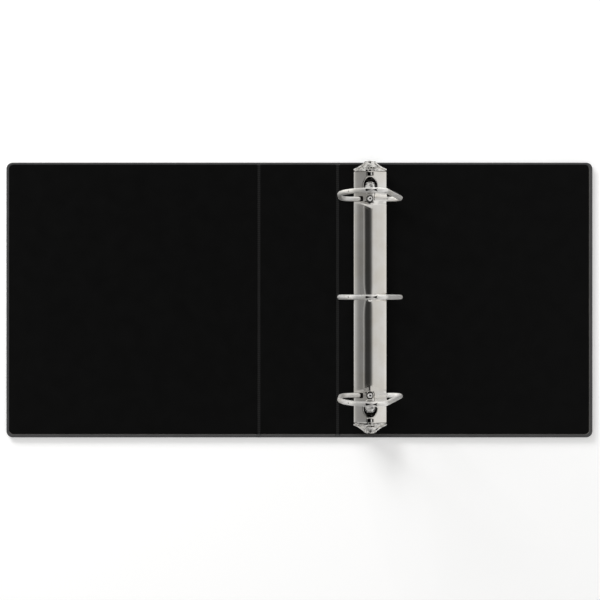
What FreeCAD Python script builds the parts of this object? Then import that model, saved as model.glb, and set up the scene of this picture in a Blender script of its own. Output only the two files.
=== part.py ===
import FreeCAD, Part
import math
import os

# A three-ring binder laid open and flat, inside up. +X runs across the three panels, +Y along
# the spine, +Z up. The origin is at the middle of the outside faces, so the table is z = 0.

V = FreeCAD.Vector

# ---------------------------------------------------------------- driving dimensions, mm
COVER_LENGTH = 650.0
COVER_HEIGHT = 304.8
COVER_THICKNESS = 3.0
CORNER_RADIUS = 7.0
VINYL = 0.4
RIM = 3.4
RIM_ROUND = 0.9
BOARD_EDGE = 1.0

FRONT_CREASE_X = -44.9
BACK_CREASE_X = 42.3
WEB_WIDTH = 3.3
WEB_THICKNESS = 0.6

METAL_X = 78.4
METAL_Y = 3.2
RING_SPACING = 107.95

HOUSING_WIDTH = 36.5
HOUSING_HALF_LENGTH = 138.0
SHEET = 1.0
ROOF_APEX_Z = 13.95
ROOF_ANGLE = 16.5
CROWN_RADIUS = 28.0
END_CROWN_RADIUS = 6.0
END_START = 97.0
END_BLEND = 5.0
SHOULDER_RADIUS = 1.4
LIP_REACH = 3.8
TUNNEL_WALL = 1.35
TUNNEL_LIFT = 0.35
TUNNEL_START_X = 4.5
ARM_CLEARANCE = 0.35
ARM_DROP = 0.9
ARM_SLOT_END_X = -7.7
ARM_SLOT_CORNER = 1.2
DIMPLE_RADIUS = 2.8
DIMPLE_RISE = 0.8
DIMPLE_Y = -2.4
PRICK_RADIUS = 0.5

BELL_RADIUS = 7.35
BELL_SHOULDER_X = 6.0
BELL_SHOULDER_Y = 127.4
BELL_NECK_X = 3.1
BELL_NECK_Y = 131.0
BELL_END_Y = 131.7
BELL_FLOOR_Z = 9.3
JAW_SLOT_Y0 = 133.9
JAW_SLOT_Y1 = 136.7
EYELET_SLOT_WIDTH = 6.6
EYELET_SLOT_Y0 = 103.0
EYELET_SLOT_Y1 = 111.6
SLOT_FLOOR_Z = 8.1

BLADE_THICKNESS = 1.0
BLADE_PIVOT_X = 16.6
BLADE_PIVOT_Z = 6.2
BLADE_TILT = 3.0
BLADE_HALF_LENGTH = 131.0
BLADE_GAP = 0.15
BLADE_EDGE = 0.3
WINDOW_X = 7.5
WINDOW_Y0 = 113.5
WINDOW_Y1 = 128.5
EYELET_NOTCH_RADIUS = 2.8

WIRE_RADIUS = 2.6
ARM_Z = 9.4
RING_TOP_Z = 81.0
ROUND_X = 4.0
ROUND_Z = 45.0
ROUND_RADIUS = RING_TOP_Z - ROUND_Z
LEFT_ARM_END_X = -12.75
LEFT_BEND_RADIUS = 12.5
RIGHT_ARM_END_X = 12.2
LEG_ANGLE = 15.95
LEG_TOP_X = 15.0
LEG_TOP_BEND = 9.0
LEG_FOOT_BEND = 8.0
TENON_RADIUS = 1.7
TENON_FOOT_Z = 5.0
TENON_INSET = 2.0
SEAM_EDGE_X = -0.8
SEAM_TIP_X = 2.6
SEAM_GAP = 0.25
GROOVE_DEPTH = 3.0
LEFT_GROOVE = ((-4.6, 1.3), (0.9, 0.15))
RIGHT_GROOVE = ((2.9, 0.2), (7.8, 1.7), (6.6, 0.3))
TICK_ANGLE = 133.0
TICK_RADIUS = 0.75

TRIGGER_PIN_Y = 134.0
TRIGGER_PIN_Z = 6.0
TRIGGER_PIN_RADIUS = 1.5
TRIGGER_TIP_Y = 147.9
TRIGGER_RISE = 7.6
TRIGGER_SHEET = 1.3
TRIGGER_BASE_GAP = 0.4
TRIGGER_SIDE_DRAFT = 0.35
FLARE_Y = 140.8
FLARE_STEP = 0.5
SHOULDER_X = 10.8
SHOULDER_Y = 143.6
TIP_NECK_X = 6.9
TIP_NECK_Y = 146.2
TIP_X = 5.2
NECK_HALF_WIDTH = 7.0
NECK_PROFILE = ((134.0, 8.0), (137.4, 9.3), (138.7, 10.6), (141.6, 14.4),
                (143.0, 14.4), (140.2, 9.6), (137.8, 5.2), (134.0, 3.8))
BARREL_RADIUS = 2.4
BARREL_HALF_LENGTH = 12.0
BORE_CLEARANCE = 0.05
JAW_HALF_WIDTH = 2.5
LOWER_JAW = (129.8, 3.4, 4.4)
UPPER_JAW = (130.0, 6.8, 7.9)
NOTCH_MOUTH = 0.7
NOTCH_END = 0.25
NOTCH_DEPTH = 1.4
SCALLOP_RADIUS = 1.25
SCALLOP_PITCH = 3.8
SCALLOP_FLOOR_Z = 11.0
SCALLOP_STEP = 0.2

RIVET_Y = 121.0
RIVET_HEAD_RADIUS = 6.4
RIVET_SHANK_RADIUS = 3.0
DOME_HEIGHT = 2.6
DISH_RADIUS = 3.3
DISH_DEPTH = 0.45
PIP_RADIUS = 1.3
PIP_LIFT = 0.9
SEAT_Z = 9.2
SEAT_RADIUS = 6.1
SEAT_ROOT_HALF_WIDTH = 4.0
SEAT_ROOT_GAP = 0.15
SEAT_ROOT_FLOOR_Z = 11.4
SEAT_ROOT_TOP_Z = 12.7
SEAT_ROOT_RUN = 2.6
SEAT_ROOT_EDGE = 1.8
SEAT_ROOT_LAP = 2.0
SEAT_ROOT_HEEL = 0.8
WASHER_THICKNESS = 0.8
EYELET_RADIUS = 3.1
EYELET_TOP_Z = 13.2
EYELET_FLANGE = 1.3
EYELET_ROLL = 1.1
EYELET_TUBE_RADIUS = 2.2
EYELET_HOLE_RADIUS = 1.15
TOUCH = 0.01


# ---------------------------------------------------------------- helpers
def box(x0, x1, y0, y1, z0, z1):
    return Part.makeBox(x1 - x0, y1 - y0, z1 - z0, V(x0, y0, z0))


def rod(radius, start, end):
    return Part.makeCylinder(radius, (end - start).Length, start, end - start)


def upright(radius, y, z0, z1):
    """A round bar standing on the centre line."""
    return rod(radius, V(0, y, z0), V(0, y, z1))


def prism(points, vector):
    corners = [V(*p) for p in points]
    return Part.Face(Part.makePolygon(corners + corners[:1])).extrude(vector)


def line(a, b):
    return Part.LineSegment(a, b).toShape()


def bow(a, middle, b):
    return Part.Arc(a, middle, b).toShape()


def across(p):
    return V(-p.x, p.y, p.z)


def closed(edges):
    return Part.Wire(Part.__sortEdges__(edges))


def mirror_y(shape):
    return shape.mirror(V(0, 0, 0), V(0, 1, 0))


def place(shape):
    """From the ring metal's own centre to its seat on the back cover."""
    moved = shape.copy()
    moved.translate(V(METAL_X, METAL_Y, 0))
    return moved


def save(name, shape):
    solids = shape.Solids
    if not solids:
        raise RuntimeError(name + " has no solid")
    if not shape.isValid():
        raise RuntimeError(name + " is not valid")
    body = solids[0] if len(solids) == 1 else Part.makeCompound(solids)
    body.exportStep(os.path.join("parts", name + ".step"))
    print(name, len(solids), round(shape.Volume, 1))


# ---------------------------------------------------------------- cover
def plate(x0, x1, half_y, z0, z1, radius_left, radius_right):
    """A flat plate whose upright corner edges are rounded on either side."""
    body = box(x0, x1, -half_y, half_y, z0, z1)
    for x, radius in ((x0, radius_left), (x1, radius_right)):
        if radius:
            corners = [e for e in body.Edges
                       if abs(e.BoundBox.XMax - x) < TOUCH and e.BoundBox.XLength < TOUCH
                       and e.BoundBox.ZLength > (z1 - z0) / 2 and e.BoundBox.YLength < TOUCH]
            body = body.makeFillet(radius, corners)
    return body


def round_top(body, z, hinge_sides):
    """Rounds the upper outside edge, except along the sides that meet a hinge."""
    edges = []
    for edge in body.Edges:
        low, high = edge.BoundBox.XMin, edge.BoundBox.XMax
        if edge.BoundBox.ZMin < z - TOUCH:
            continue
        if any(abs(low - x) < TOUCH and abs(high - x) < TOUCH for x in hinge_sides):
            continue
        edges.append(edge)
    return body.makeFillet(RIM_ROUND, edges)


def panel(name, x0, x1, left_free, right_free, drilled=None):
    """One stiff panel: a vinyl tray outside, a board in it and a vinyl liner on top."""
    half = COVER_HEIGHT / 2
    left_rim = RIM if left_free else BOARD_EDGE
    right_rim = RIM if right_free else BOARD_EDGE
    left_round = CORNER_RADIUS if left_free else 0
    right_round = CORNER_RADIUS if right_free else 0
    inside = dict(x0=x0 + left_rim, x1=x1 - right_rim, half_y=half - RIM,
                  radius_left=max(left_round - RIM, 0), radius_right=max(right_round - RIM, 0))
    hinge_sides = [x for x, free in ((x0, left_free), (x1, right_free)) if not free]
    outside = plate(x0, x1, half, 0, COVER_THICKNESS, left_round, right_round)
    outside = round_top(outside, COVER_THICKNESS, hinge_sides)
    liner_z = COVER_THICKNESS - VINYL
    pieces = {
        "outer_skin": outside.cut(plate(z0=VINYL, z1=COVER_THICKNESS, **inside)),
        "board": plate(z0=VINYL, z1=liner_z, **inside),
        "inner_liner": plate(z0=liner_z, z1=COVER_THICKNESS, **inside),
    }
    for part_name, shape in pieces.items():
        save(name + "_" + part_name, shape.cut(drilled) if drilled else shape)


def hinge_web(crease_x):
    half = COVER_HEIGHT / 2
    top = COVER_THICKNESS
    return box(crease_x - WEB_WIDTH / 2, crease_x + WEB_WIDTH / 2, -half, half,
               top - WEB_THICKNESS, top)


# ---------------------------------------------------------------- housing plate
def roof_edges(crown_radius, inset):
    """Left shoulder, flank, crown, flank and right shoulder of the arch, offset inwards."""
    angle = math.radians(ROOF_ANGLE)
    centre_z = ROOF_APEX_Z - crown_radius / math.cos(angle)
    radius = crown_radius - inset
    crown = V(-radius * math.sin(angle), 0, centre_z + radius * math.cos(angle))
    normal = V(-math.sin(angle), 0, math.cos(angle))
    shoulder_x = -HOUSING_WIDTH / 2 + SHOULDER_RADIUS
    outer_crown = V(-crown_radius * math.sin(angle), 0, centre_z + crown_radius * math.cos(angle))
    drop = (shoulder_x - outer_crown.x) * math.sin(angle) - SHOULDER_RADIUS
    shoulder = V(shoulder_x, 0, outer_crown.z + drop / math.cos(angle))
    bend = SHOULDER_RADIUS - inset
    middle = angle + (math.pi / 2 - angle) / 2
    side = shoulder + V(-bend, 0, 0)
    flank = shoulder + normal * bend
    halfway = shoulder + V(-math.cos(middle), 0, math.sin(middle)) * bend
    return side, [
        bow(side, halfway, flank),
        line(flank, crown),
        bow(crown, V(0, 0, centre_z + radius), across(crown)),
        line(across(crown), across(flank)),
        bow(across(flank), across(halfway), across(side)),
    ]


def housing_section(crown_radius, y):
    """The closed section of the sheet: arch, upright sides and the lips turned in below."""
    outer_side, outer = roof_edges(crown_radius, 0)
    inner_side, inner = roof_edges(crown_radius, SHEET)
    floor = COVER_THICKNESS
    tip_x = -HOUSING_WIDTH / 2 + LIP_REACH
    left = [
        inner_side,
        V(inner_side.x, 0, floor + SHEET),
        V(tip_x, 0, floor + SHEET),
        V(tip_x, 0, floor),
        V(outer_side.x, 0, floor),
        outer_side,
    ]
    edges = outer + inner
    for a, b in zip(left, left[1:]):
        edges.append(line(a, b))
        edges.append(line(across(a), across(b)))
    wire = closed(edges)
    wire.translate(V(0, y, 0))
    return wire


def bell_opening():
    """The opening round the rivet: half a circle, drawn in to a neck at its outer end."""
    side = V(BELL_RADIUS, RIVET_Y, 0)
    inner = V(0, RIVET_Y - BELL_RADIUS, 0)
    shoulder = V(BELL_SHOULDER_X, BELL_SHOULDER_Y, 0)
    neck = V(BELL_NECK_X, BELL_NECK_Y, 0)
    end = V(BELL_NECK_X, BELL_END_Y, 0)
    outline = closed([bow(across(side), inner, side), bow(side, shoulder, neck), line(neck, end),
                      line(end, across(end)), line(across(end), across(neck)),
                      bow(across(neck), across(shoulder), across(side))])
    opening = Part.Face(outline).extrude(V(0, 0, 2 * ROOF_APEX_Z))
    opening.translate(V(0, 0, BELL_FLOOR_Z))
    return opening


def obround(width, y0, y1, z0, z1):
    radius = width / 2
    body = box(-radius, radius, y0 + radius, y1 - radius, z0, z1)
    for y in (y0 + radius, y1 - radius):
        body = body.fuse(upright(radius, y, z0, z1))
    return body


def rivet_seat():
    """The plate's tongue pressed down under the rivet's head, with its sloping root."""
    x = -SEAT_ROOT_HALF_WIDTH
    low = SEAT_Z - SHEET
    end_y = RIVET_Y - RIVET_HEAD_RADIUS - SEAT_ROOT_GAP
    disc = upright(SEAT_RADIUS, RIVET_Y, low, SEAT_Z)
    root = prism([(x, end_y - SEAT_ROOT_RUN, SEAT_ROOT_FLOOR_Z),
                  (x, end_y - SEAT_ROOT_RUN, SEAT_ROOT_TOP_Z),
                  (x, end_y - SEAT_ROOT_EDGE, SEAT_ROOT_TOP_Z), (x, end_y, SEAT_Z),
                  (x, end_y + SEAT_ROOT_LAP, SEAT_Z), (x, end_y + SEAT_ROOT_LAP, low),
                  (x, end_y - SEAT_ROOT_HEEL, low)],
                 V(2 * SEAT_ROOT_HALF_WIDTH, 0, 0))
    return disc.fuse(root).cut(upright(RIVET_SHANK_RADIUS, RIVET_Y, 0, 2 * SEAT_Z))


def housing_end_cuts():
    """The bell opening, the slot over the lever's neck and the eyelet's slot, at +Y."""
    top = 2 * ROOF_APEX_Z
    jaw_slot = box(-BELL_NECK_X, BELL_NECK_X, JAW_SLOT_Y0, JAW_SLOT_Y1, SLOT_FLOOR_Z, top)
    eyelet_slot = obround(EYELET_SLOT_WIDTH, EYELET_SLOT_Y0, EYELET_SLOT_Y1, SLOT_FLOOR_Z, top)
    pin_hole = rod(TRIGGER_PIN_RADIUS, V(-HOUSING_WIDTH, TRIGGER_PIN_Y, TRIGGER_PIN_Z),
                   V(HOUSING_WIDTH, TRIGGER_PIN_Y, TRIGGER_PIN_Z))
    return bell_opening().fuse([jaw_slot, eyelet_slot, pin_hole])


def arm_tunnel(y, inset):
    """The raised channel over a right-hand ring arm, or the space inside it."""
    radius = WIRE_RADIUS + TUNNEL_WALL - inset
    axis_z = ARM_Z + TUNNEL_LIFT
    x0 = TUNNEL_START_X + 2 * inset
    x1 = HOUSING_WIDTH / 2 + inset
    low_z = ARM_Z - WIRE_RADIUS - ARM_DROP if inset else ARM_Z
    half_round = rod(radius, V(x0, y, axis_z), V(x1, y, axis_z))
    half_round = half_round.common(box(x0, x1, y - radius, y + radius, axis_z, 2 * axis_z))
    return half_round.fuse(box(x0, x1, y - radius, y + radius, low_z, axis_z))


def left_arm_slot(y):
    """The slot that the left-hand ring arm lies in, open at the side of the plate."""
    half = WIRE_RADIUS + ARM_CLEARANCE
    low_z = ARM_Z - WIRE_RADIUS - ARM_DROP
    body = box(-HOUSING_WIDTH, ARM_SLOT_END_X, y - half, y + half, low_z, 2 * ROOF_APEX_Z)
    corners = [e for e in body.Edges
               if e.BoundBox.XMin > ARM_SLOT_END_X - TOUCH and e.BoundBox.ZLength > SHEET]
    return body.makeFillet(ARM_SLOT_CORNER, corners)


def crown_dimple():
    """The small raised dimple with a prick in it, on the crown beside the middle ring."""
    ball_radius = (DIMPLE_RADIUS ** 2 + DIMPLE_RISE ** 2) / (2 * DIMPLE_RISE)
    crown_z = ROOF_APEX_Z - CROWN_RADIUS * (1 / math.cos(math.radians(ROOF_ANGLE)) - 1)
    ball = Part.makeSphere(ball_radius, V(0, DIMPLE_Y, crown_z + DIMPLE_RISE - ball_radius))
    cap = ball.common(upright(DIMPLE_RADIUS, DIMPLE_Y, crown_z - SHEET / 2, crown_z + SHEET))
    return cap, upright(PRICK_RADIUS, DIMPLE_Y, crown_z + DIMPLE_RISE / 2, crown_z + SHEET)


def housing_plate():
    middle = Part.Face(housing_section(CROWN_RADIUS, -END_START))
    body = middle.extrude(V(0, 2 * END_START, 0))
    blend_y = END_START + END_BLEND
    blend = Part.makeLoft([housing_section(CROWN_RADIUS, END_START),
                           housing_section(END_CROWN_RADIUS, blend_y)], True, True)
    end = Part.Face(housing_section(END_CROWN_RADIUS, blend_y))
    end = end.extrude(V(0, HOUSING_HALF_LENGTH - blend_y, 0))
    body = body.fuse([blend, end, mirror_y(blend), mirror_y(end)])
    rings = (-RING_SPACING, 0, RING_SPACING)
    dimple, prick = crown_dimple()
    body = body.fuse([arm_tunnel(y, 0) for y in rings] + [dimple])
    spaces = [arm_tunnel(y, SHEET) for y in rings] + [left_arm_slot(y) for y in rings]
    end_cuts = housing_end_cuts()
    body = body.cut(spaces + [end_cuts, mirror_y(end_cuts), prick])
    seat = rivet_seat()
    return body.fuse([seat, mirror_y(seat)]).removeSplitter()


# ---------------------------------------------------------------- blades and rings
def blade(side):
    """One toggle plate, closed: side is -1 for the left blade and +1 for the right."""
    x0, x1 = sorted((side * (BLADE_PIVOT_X + BLADE_EDGE), side * BLADE_GAP))
    half_t = BLADE_THICKNESS / 2
    body = box(x0, x1, -BLADE_HALF_LENGTH, BLADE_HALF_LENGTH,
               BLADE_PIVOT_Z - half_t, BLADE_PIVOT_Z + half_t)
    window = box(-WINDOW_X, WINDOW_X, WINDOW_Y0, WINDOW_Y1, 0, 2 * BLADE_PIVOT_Z)
    notch = upright(EYELET_NOTCH_RADIUS, RING_SPACING, 0, 2 * BLADE_PIVOT_Z)
    body = body.cut([window, mirror_y(window), notch, mirror_y(notch)])
    body.rotate(V(side * BLADE_PIVOT_X, 0, BLADE_PIVOT_Z), V(0, 1, 0), -side * BLADE_TILT)
    return body.cut([tenon(side, y) for y in (-RING_SPACING, 0, RING_SPACING)])


def tenon(side, y):
    """The ring's foot, riveted through its blade."""
    x = LEFT_ARM_END_X if side < 0 else RIGHT_ARM_END_X + TENON_INSET
    return rod(TENON_RADIUS, V(x, y, TENON_FOOT_Z), V(x, y, ARM_Z))


def sweep(pieces, start, tangent):
    """Round wire along a path of lines and arcs."""
    path = closed(pieces)
    circle = Part.Wire(Part.makeCircle(WIRE_RADIUS, start, tangent))
    return path.makePipeShell([circle], True, False)


def in_plane(centre, radius, degrees, y):
    """A point on a circle in a plane of constant y, its angle counted from +X towards +Z."""
    angle = math.radians(degrees)
    return V(centre[0] + radius * math.cos(angle), y, centre[1] + radius * math.sin(angle))


def arc(centre, radius, from_deg, to_deg, y):
    points = [in_plane(centre, radius, a, y) for a in (from_deg, (from_deg + to_deg) / 2, to_deg)]
    return bow(*points), points[0], points[2]


def left_ring(y):
    """Low arm, tight lower bend, upright run and the large round up to the seam."""
    start = V(LEFT_ARM_END_X, y, ARM_Z)
    far_x = ROUND_X - ROUND_RADIUS
    bend_x = far_x + LEFT_BEND_RADIUS
    low, low_a, low_b = arc((bend_x, ARM_Z + LEFT_BEND_RADIUS), LEFT_BEND_RADIUS, 270, 180, y)
    top, top_a, top_b = arc((ROUND_X, ROUND_Z), ROUND_RADIUS, 180, 90, y)
    beyond = top_b + V(WIRE_RADIUS, 0, 0)
    body = sweep([line(start, low_a), low, line(low_b, top_a), top, line(top_b, beyond)],
                 start, V(-1, 0, 0))
    body = body.fuse([Part.makeSphere(WIRE_RADIUS, start), tenon(-1, y)])
    mark = in_plane((ROUND_X, ROUND_Z), ROUND_RADIUS + WIRE_RADIUS, TICK_ANGLE, y)
    tick = Part.makeSphere(TICK_RADIUS, mark)
    return body.cut([left_of_seam(y), groove(LEFT_GROOVE, y), tick]).removeSplitter()


def right_ring(y):
    """Top run from the seam, upper corner, slanting leg, foot bend and the low arm."""
    slant = math.radians(LEG_ANGLE)
    foot_x = LEG_TOP_X + (RING_TOP_Z - ARM_Z) * math.tan(slant)
    top_reach = LEG_TOP_BEND * math.tan((math.pi / 2 - slant) / 2)
    foot_reach = LEG_FOOT_BEND * math.tan((math.pi / 2 + slant) / 2)
    start = V(2 * SEAM_EDGE_X - WIRE_RADIUS, y, RING_TOP_Z)
    corner, corner_a, corner_b = arc((LEG_TOP_X - top_reach, RING_TOP_Z - LEG_TOP_BEND),
                                     LEG_TOP_BEND, 90, LEG_ANGLE, y)
    bend, bend_a, bend_b = arc((foot_x - foot_reach, ARM_Z + LEG_FOOT_BEND),
                               LEG_FOOT_BEND, LEG_ANGLE, -90, y)
    end = V(RIGHT_ARM_END_X, y, ARM_Z)
    body = sweep([line(start, corner_a), corner, line(corner_b, bend_a), bend, line(bend_b, end)],
                 start, V(1, 0, 0))
    body = body.fuse(tenon(1, y))
    return body.cut([right_of_seam(y), groove(RIGHT_GROOVE, y)]).removeSplitter()


def seam_prism(corners, y, z0):
    z1 = RING_TOP_Z + 2 * WIRE_RADIUS
    return prism([(cx, y + cy, z0) for cx, cy in corners], V(0, 0, z1 - z0))


def seam_line(shift):
    """The pointed seam from above, as far as twice the wire's radius to either side."""
    half = 2 * WIRE_RADIUS
    edge_x = SEAM_TIP_X - 2 * (SEAM_TIP_X - SEAM_EDGE_X) + shift
    return [(edge_x, half), (SEAM_TIP_X + shift, 0), (edge_x, -half)]


def left_of_seam(y):
    """What the left half gives up: everything beyond its pointed tip."""
    half = 2 * WIRE_RADIUS
    far = SEAM_TIP_X + half
    corners = seam_line(-SEAM_GAP / 2) + [(far, -half), (far, half)]
    return seam_prism(corners, y, RING_TOP_Z - half)


def right_of_seam(y):
    """What the right half gives up: everything before its forked mouth."""
    half = 2 * WIRE_RADIUS
    near = -SEAM_TIP_X - 2 * half
    corners = seam_line(SEAM_GAP / 2) + [(near, -half), (near, half)]
    return seam_prism(corners, y, RING_TOP_Z - half)


def groove(outline, y):
    """A wedge sunk in the top of a tip, symmetrical about the wire's centre line."""
    mirrored = [(cx, -cy) for cx, cy in reversed(outline)]
    return seam_prism(list(outline) + mirrored, y, RING_TOP_Z + WIRE_RADIUS - GROOVE_DEPTH)


# ---------------------------------------------------------------- triggers
def trigger_outline():
    """The lever's outline from above: full width at its base, hollow shoulders, narrow tip."""
    half = HOUSING_WIDTH / 2
    points = [V(half, HOUSING_HALF_LENGTH + TRIGGER_BASE_GAP, 0), V(half, FLARE_Y - FLARE_STEP, 0),
              V(half - TRIGGER_SIDE_DRAFT, FLARE_Y, 0)]
    shoulder = V(SHOULDER_X, SHOULDER_Y, 0)
    neck = V(TIP_NECK_X, TIP_NECK_Y, 0)
    tip = V(TIP_X, TRIGGER_TIP_Y, 0)
    base, flare = points[0], points[-1]
    edges = [line(across(base), base), line(tip, across(tip))]
    for side in (lambda p: p, across):
        edges += [line(side(a), side(b)) for a, b in zip(points, points[1:])]
        edges += [bow(side(flare), side(shoulder), side(neck)), line(side(neck), side(tip))]
    return Part.Face(closed(edges)).extrude(V(0, 0, 4 * ROOF_APEX_Z))


def trigger_roof():
    """The arched sheet of the lever, which rises as it runs outwards."""
    outer_side, outer = roof_edges(CROWN_RADIUS, 0)
    inner_side, inner = roof_edges(CROWN_RADIUS, TRIGGER_SHEET)
    edges = outer + inner + [line(outer_side, inner_side), line(across(outer_side), across(inner_side))]
    face = Part.Face(closed(edges))
    face.translate(V(0, HOUSING_HALF_LENGTH - SHEET, 0))
    run = TRIGGER_TIP_Y - HOUSING_HALF_LENGTH
    reach = run + 2 * SHEET
    return face.extrude(V(0, reach, reach * TRIGGER_RISE / run))


def trigger():
    """Lever, neck, barrel on the pin and the jaws round the ends of the blades, at +Y."""
    tab = trigger_roof().common(trigger_outline())
    neck = prism([(-NECK_HALF_WIDTH, y, z) for y, z in NECK_PROFILE], V(2 * NECK_HALF_WIDTH, 0, 0))
    ends = [V(side * BARREL_HALF_LENGTH, TRIGGER_PIN_Y, TRIGGER_PIN_Z) for side in (-1, 1)]
    jaws = [box(-JAW_HALF_WIDTH, JAW_HALF_WIDTH, y, TRIGGER_PIN_Y, z0, z1)
            for y, z0, z1 in (LOWER_JAW, UPPER_JAW)]
    body = tab.fuse([neck, rod(BARREL_RADIUS, *ends)] + jaws)
    bore = rod(TRIGGER_PIN_RADIUS + BORE_CLEARANCE, *[V(1.5 * p.x, p.y, p.z) for p in ends])
    notch = prism([(-NOTCH_MOUTH, TRIGGER_TIP_Y + SHEET, 0), (NOTCH_MOUTH, TRIGGER_TIP_Y + SHEET, 0),
                   (NOTCH_END, TRIGGER_TIP_Y - NOTCH_DEPTH, 0),
                   (-NOTCH_END, TRIGGER_TIP_Y - NOTCH_DEPTH, 0)], V(0, 0, 4 * ROOF_APEX_Z))
    scallop_y = HOUSING_HALF_LENGTH + SCALLOP_STEP
    scallops = [rod(SCALLOP_RADIUS, V(x, scallop_y, SCALLOP_FLOOR_Z), V(x, scallop_y, 2 * ROOF_APEX_Z))
                for x in (-SCALLOP_PITCH, 0, SCALLOP_PITCH)]
    return body.cut([bore, notch] + scallops).removeSplitter()


# ---------------------------------------------------------------- fasteners
def trigger_pin():
    half = HOUSING_WIDTH / 2 - BORE_CLEARANCE
    return rod(TRIGGER_PIN_RADIUS, V(-half, TRIGGER_PIN_Y, TRIGGER_PIN_Z),
               V(half, TRIGGER_PIN_Y, TRIGGER_PIN_Z))


def rivet():
    """A domed head, dished in the middle, on a shank that runs through the cover."""
    ball_radius = (RIVET_HEAD_RADIUS ** 2 + DOME_HEIGHT ** 2) / (2 * DOME_HEIGHT)
    ball_z = SEAT_Z + DOME_HEIGHT - ball_radius
    ball = Part.makeSphere(ball_radius, V(0, RIVET_Y, ball_z))
    head = ball.common(upright(2 * RIVET_HEAD_RADIUS, RIVET_Y, SEAT_Z, 2 * SEAT_Z))
    dish_z = ball_z + math.sqrt(ball_radius ** 2 - DISH_RADIUS ** 2) - DISH_DEPTH
    dish_radius = (DISH_RADIUS ** 2 + DISH_DEPTH ** 2) / (2 * DISH_DEPTH)
    dish = Part.makeSphere(dish_radius, V(0, RIVET_Y, dish_z + dish_radius))
    pip = Part.makeSphere(PIP_RADIUS, V(0, RIVET_Y, dish_z + PIP_LIFT))
    shank = upright(RIVET_SHANK_RADIUS, RIVET_Y, 0, SEAT_Z)
    return head.cut([dish, pip]).fuse(shank).removeSplitter()


def washer():
    ring = upright(RIVET_HEAD_RADIUS, RIVET_Y, 0, WASHER_THICKNESS)
    return ring.cut(upright(RIVET_SHANK_RADIUS, RIVET_Y, 0, WASHER_THICKNESS))


def eyelet():
    """A hollow rivet with a rolled head, standing on the cover through the blades' notch."""
    tube = upright(EYELET_TUBE_RADIUS, RING_SPACING, COVER_THICKNESS, EYELET_TOP_Z)
    head = upright(EYELET_RADIUS, RING_SPACING, EYELET_TOP_Z - EYELET_FLANGE, EYELET_TOP_Z)
    rim = [e for e in head.Edges
           if e.BoundBox.ZMin > EYELET_TOP_Z - TOUCH and e.BoundBox.XLength > EYELET_RADIUS]
    body = head.makeFillet(EYELET_ROLL, rim).fuse(tube)
    return body.cut(upright(EYELET_HOLE_RADIUS, RING_SPACING, COVER_THICKNESS, EYELET_TOP_Z))


def rivet_holes():
    """Drilled through the back cover, with a seat for the washer in its outside."""
    shank = upright(RIVET_SHANK_RADIUS, RIVET_Y, 0, COVER_THICKNESS)
    hole = shank.fuse(upright(RIVET_HEAD_RADIUS, RIVET_Y, 0, WASHER_THICKNESS))
    return place(hole.fuse(mirror_y(hole)))


# ---------------------------------------------------------------- the whole object
def main():
    os.makedirs("parts", exist_ok=True)
    edge = COVER_LENGTH / 2
    web = WEB_WIDTH / 2
    panel("front", -edge, FRONT_CREASE_X - web, True, False)
    panel("spine", FRONT_CREASE_X + web, BACK_CREASE_X - web, False, False)
    panel("back", BACK_CREASE_X + web, edge, False, True, rivet_holes())
    save("front_hinge_web", hinge_web(FRONT_CREASE_X))
    save("back_hinge_web", hinge_web(BACK_CREASE_X))
    save("housing_plate", place(housing_plate()))
    save("blade_left", place(blade(-1)))
    save("blade_right", place(blade(1)))
    for where, y in (("top", RING_SPACING), ("middle", 0), ("bottom", -RING_SPACING)):
        save("ring_left_" + where, place(left_ring(y)))
        save("ring_right_" + where, place(right_ring(y)))
    pairs = {"trigger": trigger(), "trigger_pin": trigger_pin(), "rivet": rivet(),
             "washer": washer(), "eyelet": eyelet()}
    for name, shape in pairs.items():
        save(name + "_top", place(shape))
        save(name + "_bottom", place(mirror_y(shape)))


main()
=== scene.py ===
import math

import bmesh
import bpy
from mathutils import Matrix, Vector, noise as field
from mathutils.geometry import delaunay_2d_cdt


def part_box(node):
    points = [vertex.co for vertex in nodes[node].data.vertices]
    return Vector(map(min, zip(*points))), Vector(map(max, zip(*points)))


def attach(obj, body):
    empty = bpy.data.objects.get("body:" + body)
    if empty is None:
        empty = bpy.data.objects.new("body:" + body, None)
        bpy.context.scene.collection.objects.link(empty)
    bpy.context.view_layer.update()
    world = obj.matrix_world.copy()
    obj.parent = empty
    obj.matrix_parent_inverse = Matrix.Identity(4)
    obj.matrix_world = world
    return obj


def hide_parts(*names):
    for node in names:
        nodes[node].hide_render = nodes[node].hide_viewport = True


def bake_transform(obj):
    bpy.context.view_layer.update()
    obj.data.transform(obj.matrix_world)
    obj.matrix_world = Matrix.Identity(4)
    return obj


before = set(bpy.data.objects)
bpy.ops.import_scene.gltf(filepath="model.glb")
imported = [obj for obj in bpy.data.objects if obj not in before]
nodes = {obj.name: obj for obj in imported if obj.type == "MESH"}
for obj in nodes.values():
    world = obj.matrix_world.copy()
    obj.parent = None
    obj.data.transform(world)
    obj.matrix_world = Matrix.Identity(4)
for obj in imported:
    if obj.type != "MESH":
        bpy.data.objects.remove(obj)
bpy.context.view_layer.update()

MM = 0.001


# ---------------------------------------------------------------- places, from the frame
def box_mm(node):
    """Lowest and highest corner of a CAD node, in millimetres."""
    low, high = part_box(node)
    return Vector(low) / MM, Vector(high) / MM


BACK_LOW, BACK_HIGH = box_mm("back_outer_skin")
METAL_LOW, METAL_HIGH = box_mm("housing_plate")
COVER_TOP = BACK_HIGH.z
METAL_X = (METAL_LOW.x + METAL_HIGH.x) / 2
METAL_Y = (METAL_LOW.y + METAL_HIGH.y) / 2

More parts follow.
